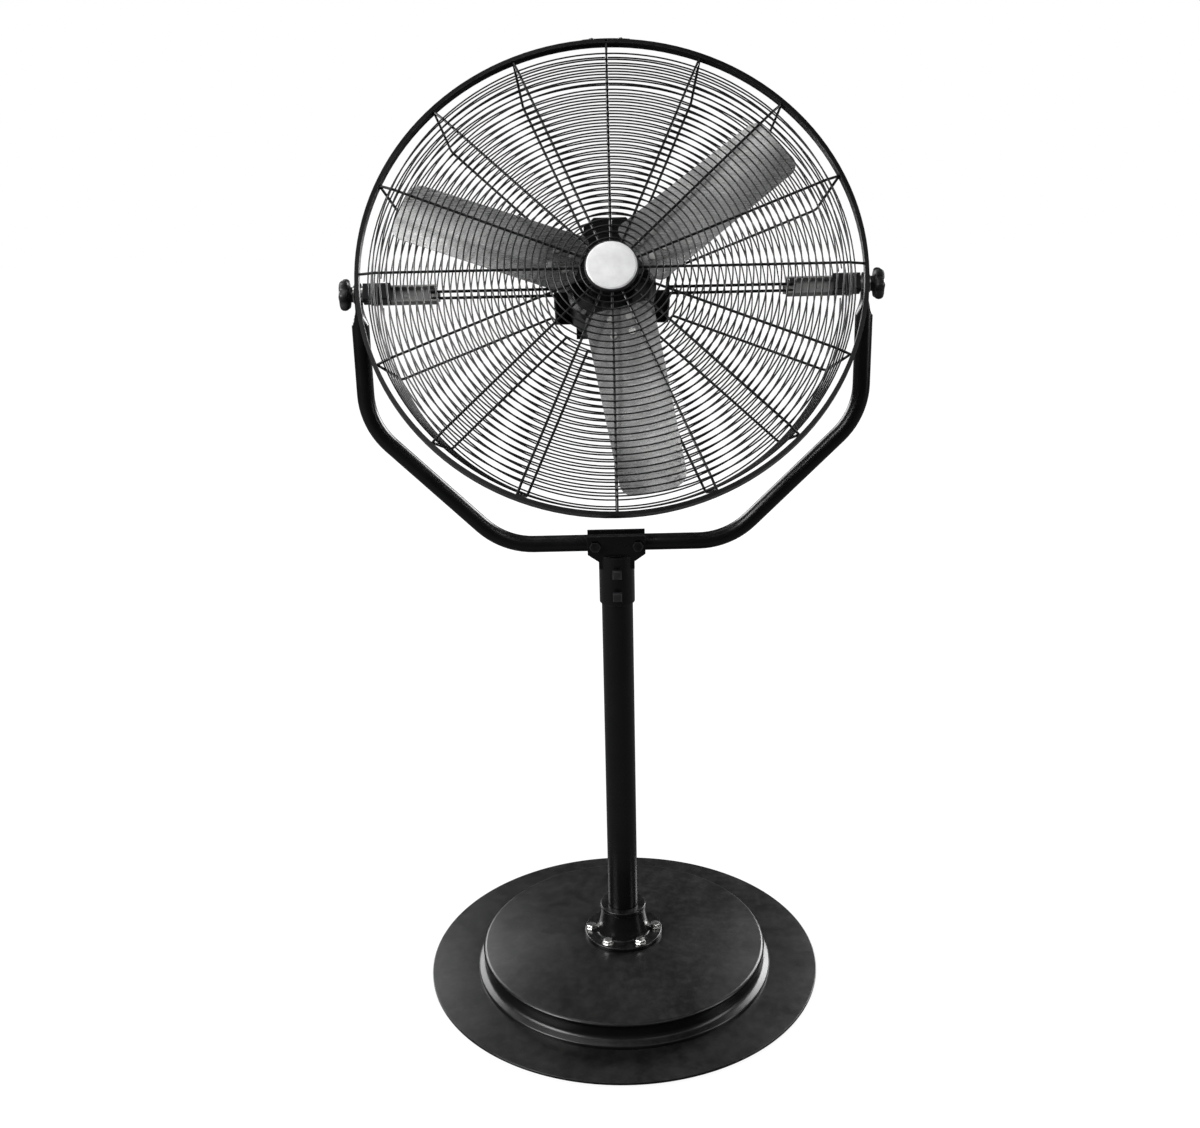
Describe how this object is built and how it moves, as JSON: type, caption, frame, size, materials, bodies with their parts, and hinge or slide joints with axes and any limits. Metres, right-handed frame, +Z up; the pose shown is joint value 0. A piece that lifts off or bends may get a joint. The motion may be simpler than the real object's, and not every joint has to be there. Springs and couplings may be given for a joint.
{
  "type": "yoke pedestal fan",
  "caption": "Pedestal fan on a round weighted base: three sheet blades in a round wire cage that tilts between the arms of a bent tube yoke, which swivels on the pole.",
  "frame": {"origin": "on the floor under the middle of the pole and of the round base plate", "axes": "+Z up, the fan blows towards -Y, +X to the right seen from the front"},
  "size_m": [0.9246, 0.762, 1.7518],
  "materials": {
    "frame_coat": "satin black powder coat on steel",
    "base_coat": "satin black powder coat on the base",
    "guard_wire": "black powder coat on welded wire",
    "motor_coat": "black enamel on the motor and its box",
    "zinc_channel": "zinc plated pressed steel",
    "bright_zinc": "bright zinc plated fasteners",
    "dark_screw": "blackened steel screws",
    "core_steel": "plain machined steel",
    "copper": "enamelled copper winding",
    "cast_weight": "rough cast iron",
    "capacitor_can": "drawn aluminium can",
    "blade_metal": "satin rolled aluminium",
    "spider_steel": "black painted steel",
    "black_plastic": "moulded black plastic",
    "badge_white": "glossy white moulded disc",
    "pad_rubber": "black rubber"
  },
  "bodies": {
    "stand": {"floor_pads": "pad_rubber", "base_plate": "base_coat", "plate_screws": "bright_zinc", "base_dome": "base_coat", "ballast": "cast_weight", "pole_socket": "frame_coat", "socket_bolts": "bright_zinc", "pole": "frame_coat"},
    "yoke": {"yoke_bracket": "frame_coat", "sleeve_screws": "dark_screw", "saddle_bolts": "dark_screw", "yoke": "frame_coat", "knob_washers": "bright_zinc"},
    "head": {"pivot_block_left": "frame_coat", "pivot_block_right": "frame_coat", "pivot_washers": "bright_zinc", "channel_left": "zinc_channel", "channel_right": "zinc_channel", "block_bolts": "bright_zinc", "support_rods": "frame_coat", "motor_cradle": "frame_coat", "motor_shell": "motor_coat", "motor_front_bell": "motor_coat", "motor_rear_bell": "motor_coat", "stator_core": "core_steel", "stator_windings": "copper", "motor_bearings": "core_steel", "motor_bolts": "bright_zinc", "switch_box": "motor_coat", "box_lid": "motor_coat", "lid_screws": "bright_zinc", "run_capacitor": "capacitor_can", "speed_switch": "black_plastic", "cord_gland": "black_plastic", "front_inner_rings": "guard_wire", "front_guard": "guard_wire", "rear_inner_rings": "guard_wire", "rear_guard": "guard_wire", "guard_ring": "guard_wire", "ring_strap": "guard_wire", "guard_clips": "bright_zinc", "guard_screws": "bright_zinc", "badge_plate": "black_plastic", "centre_badge": "badge_white", "badge_clamp": "bright_zinc", "badge_screw": "bright_zinc"},
    "rotor": {"motor_shaft": "core_steel", "rotor_core": "core_steel", "blade_hub": "blade_metal", "hub_screw": "dark_screw", "blade_spider": "spider_steel", "blade_rivets": "bright_zinc", "blade_1": "blade_metal", "blade_2": "blade_metal", "blade_3": "blade_metal"},
    "left_knob": {"knob_left": "black_plastic", "stud_left": "bright_zinc"},
    "right_knob": {"knob_right": "black_plastic", "stud_right": "bright_zinc"},
    "speed_control": {"speed_knob": "black_plastic"}
  },
  "joints": [
    {"name": "yoke_swivel", "type": "hinge", "parent": "stand", "child": "yoke", "pos_m": [0, 0, 0.83], "axis": [0, 0, 1], "range_deg": [-180, 180]},
    {"name": "head_tilt", "type": "hinge", "parent": "yoke", "child": "head", "pos_m": [0, 0, 1.353], "axis": [-1, 0, 0], "range_deg": [-55, 55]},
    {"name": "blade_spin", "type": "hinge", "parent": "head", "child": "rotor", "pos_m": [0, 0, 1.353], "axis": [0, -0.8192, 0.5736], "continuous": true},
    {"name": "left_knob_turn", "type": "hinge", "parent": "head", "child": "left_knob", "pos_m": [-0.45, 0, 1.353], "axis": [-1, 0, 0], "range_deg": [0, 360]},
    {"name": "right_knob_turn", "type": "hinge", "parent": "head", "child": "right_knob", "pos_m": [0.45, 0, 1.353], "axis": [1, 0, 0], "range_deg": [0, 360]},
    {"name": "speed_knob_turn", "type": "hinge", "parent": "head", "child": "speed_control", "pos_m": [0.014, 0.14468, 1.39574], "axis": [0, 0.8192, -0.5736], "range_deg": [0, 135]}
  ]
}
